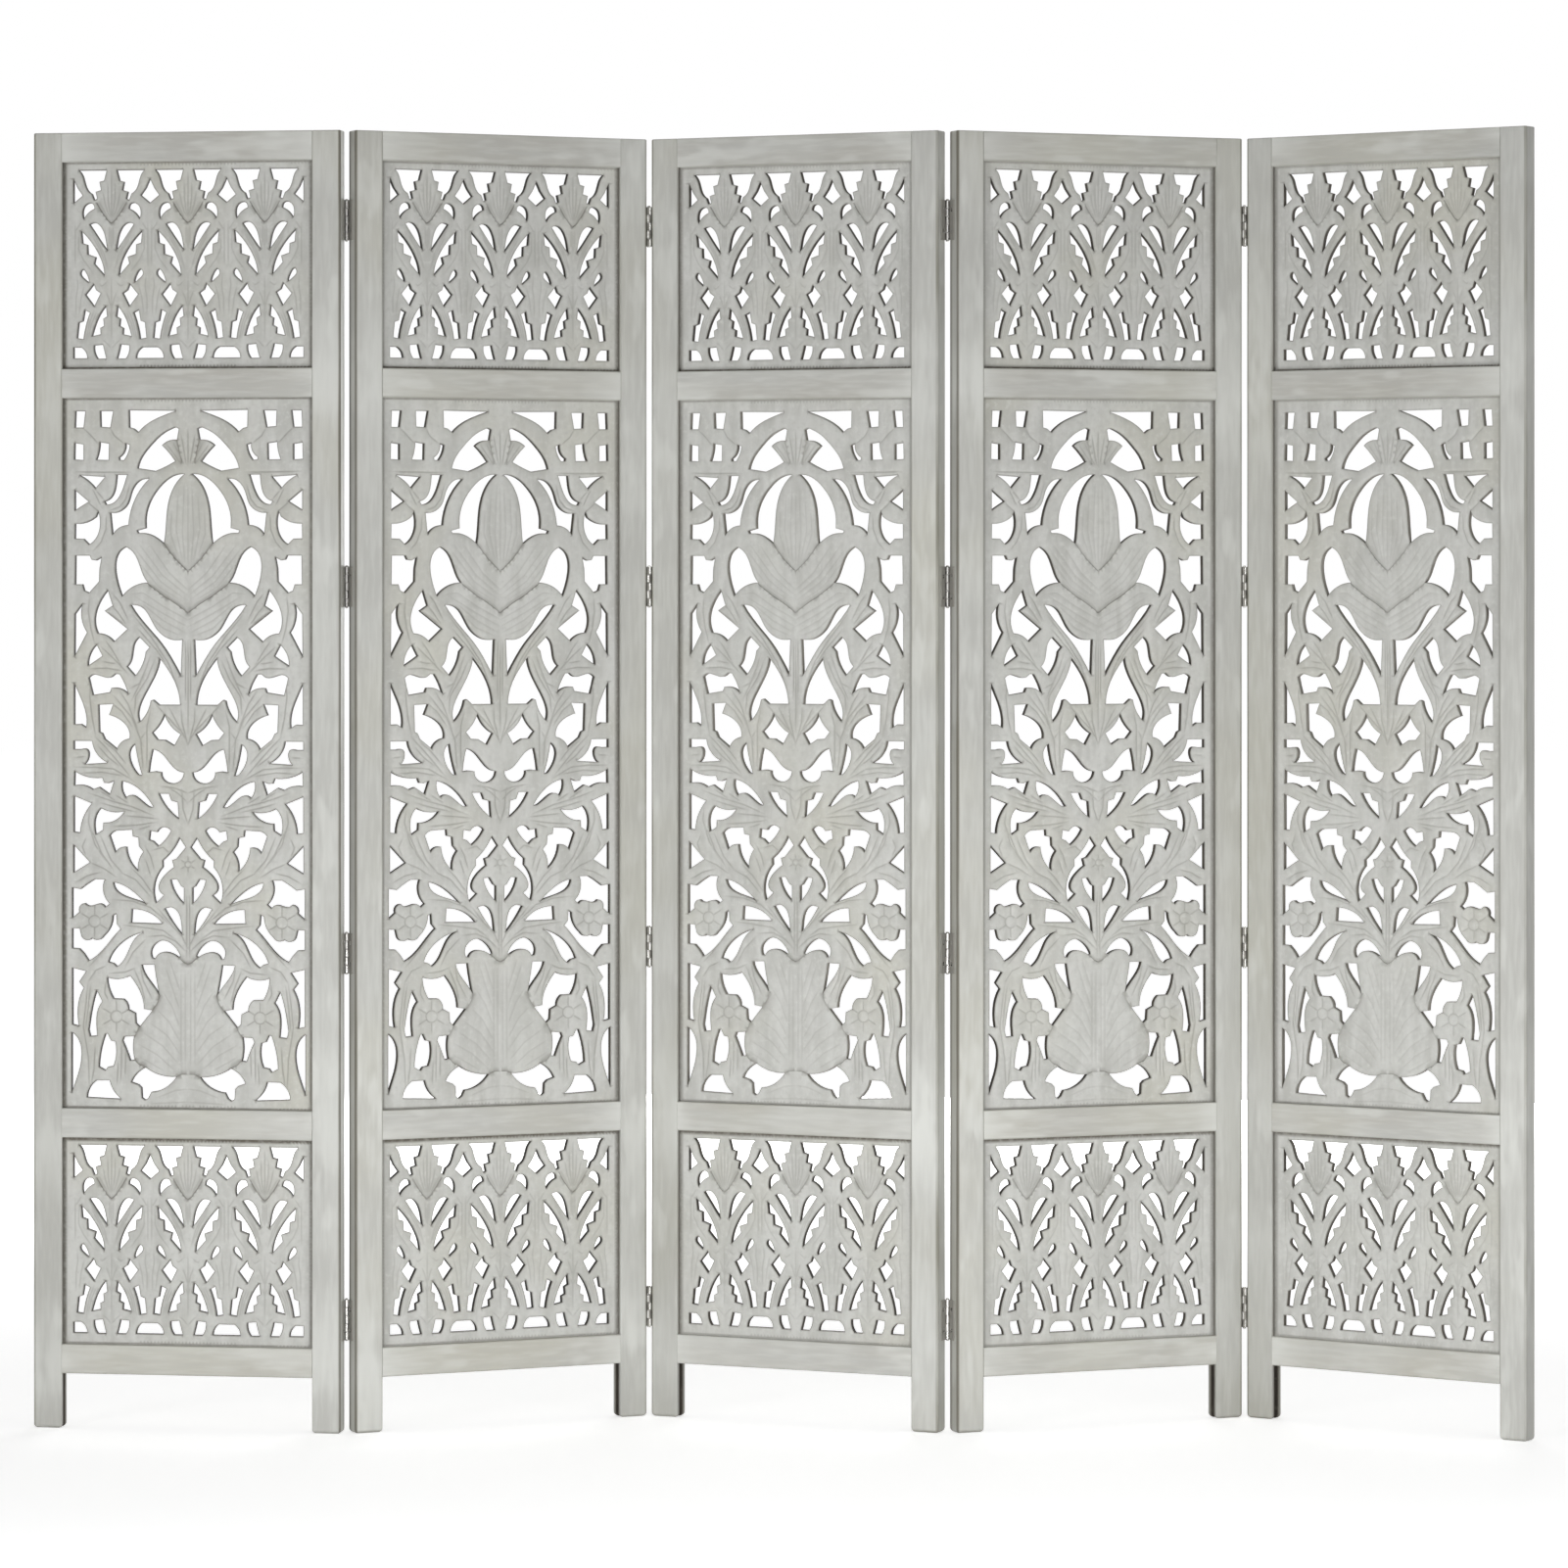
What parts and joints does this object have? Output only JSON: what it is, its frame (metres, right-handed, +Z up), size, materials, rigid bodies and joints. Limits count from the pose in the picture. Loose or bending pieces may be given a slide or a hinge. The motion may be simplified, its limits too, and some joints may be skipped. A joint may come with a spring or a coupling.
{
  "type": "folding screen",
  "caption": "Carved wooden folding screen: hinged leaves with pierced floral panels in grooved frames, standing in a zigzag to divide a room.",
  "frame": {"origin": "on the floor under the middle of the standing screen's box", "axes": "+X along the screen's length to the viewer's right, +Y from its front to its back, +Z up"},
  "size_m": [1.8982, 0.2654, 1.65],
  "materials": {
    "frame_wood": "grey wash, matte",
    "carved_wood": "grey wash, matte",
    "hinge_steel": "dull, worn",
    "screw_steel": "dull"
  },
  "bodies": {
    "leaf_1": {"leaf_1_left_stile": "frame_wood", "leaf_1_right_stile": "frame_wood", "leaf_1_top_rail": "frame_wood", "leaf_1_upper_rail": "frame_wood", "leaf_1_lower_rail": "frame_wood", "leaf_1_bottom_rail": "frame_wood", "leaf_1_upper_panel": "carved_wood", "leaf_1_main_panel": "carved_wood", "leaf_1_lower_panel": "carved_wood", "leaf_1_hinge_plates": "hinge_steel", "leaf_1_hinge_screws": "screw_steel", "hinge_pins_1_2": "hinge_steel"},
    "leaf_2": {"leaf_2_left_stile": "frame_wood", "leaf_2_right_stile": "frame_wood", "leaf_2_top_rail": "frame_wood", "leaf_2_upper_rail": "frame_wood", "leaf_2_lower_rail": "frame_wood", "leaf_2_bottom_rail": "frame_wood", "leaf_2_upper_panel": "carved_wood", "leaf_2_main_panel": "carved_wood", "leaf_2_lower_panel": "carved_wood", "leaf_2_hinge_plates": "hinge_steel", "leaf_2_hinge_screws": "screw_steel", "hinge_pins_2_3": "hinge_steel"},
    "leaf_3": {"leaf_3_left_stile": "frame_wood", "leaf_3_right_stile": "frame_wood", "leaf_3_top_rail": "frame_wood", "leaf_3_upper_rail": "frame_wood", "leaf_3_lower_rail": "frame_wood", "leaf_3_bottom_rail": "frame_wood", "leaf_3_upper_panel": "carved_wood", "leaf_3_main_panel": "carved_wood", "leaf_3_lower_panel": "carved_wood", "leaf_3_hinge_plates": "hinge_steel", "leaf_3_hinge_screws": "screw_steel", "hinge_pins_3_4": "hinge_steel"},
    "leaf_4": {"leaf_4_left_stile": "frame_wood", "leaf_4_right_stile": "frame_wood", "leaf_4_top_rail": "frame_wood", "leaf_4_upper_rail": "frame_wood", "leaf_4_lower_rail": "frame_wood", "leaf_4_bottom_rail": "frame_wood", "leaf_4_upper_panel": "carved_wood", "leaf_4_main_panel": "carved_wood", "leaf_4_lower_panel": "carved_wood", "leaf_4_hinge_plates": "hinge_steel", "leaf_4_hinge_screws": "screw_steel", "hinge_pins_4_5": "hinge_steel"},
    "leaf_5": {"leaf_5_left_stile": "frame_wood", "leaf_5_right_stile": "frame_wood", "leaf_5_top_rail": "frame_wood", "leaf_5_upper_rail": "frame_wood", "leaf_5_lower_rail": "frame_wood", "leaf_5_bottom_rail": "frame_wood", "leaf_5_upper_panel": "carved_wood", "leaf_5_main_panel": "carved_wood", "leaf_5_lower_panel": "carved_wood", "leaf_5_hinge_plates": "hinge_steel", "leaf_5_hinge_screws": "screw_steel"}
  },
  "joints": [
    {"name": "fold_1_2", "type": "hinge", "parent": "leaf_2", "child": "leaf_1", "pos_m": [-0.54821, -0.02514, 0.825], "axis": [0, 0, -1], "range_deg": [-6.5, 147.5]},
    {"name": "fold_2_3", "type": "hinge", "parent": "leaf_3", "child": "leaf_2", "pos_m": [-0.16631, 0.10973, 0.825], "axis": [0, 0, 1], "range_deg": [-13.5, 132.5]},
    {"name": "fold_3_4", "type": "hinge", "parent": "leaf_3", "child": "leaf_4", "pos_m": [0.21439, -0.02847, 0.825], "axis": [0, 0, 1], "range_deg": [-7, 135]},
    {"name": "fold_4_5", "type": "hinge", "parent": "leaf_4", "child": "leaf_5", "pos_m": [0.60181, 0.08961, 0.825], "axis": [0, 0, -1], "range_deg": [-20, 125]}
  ]
}
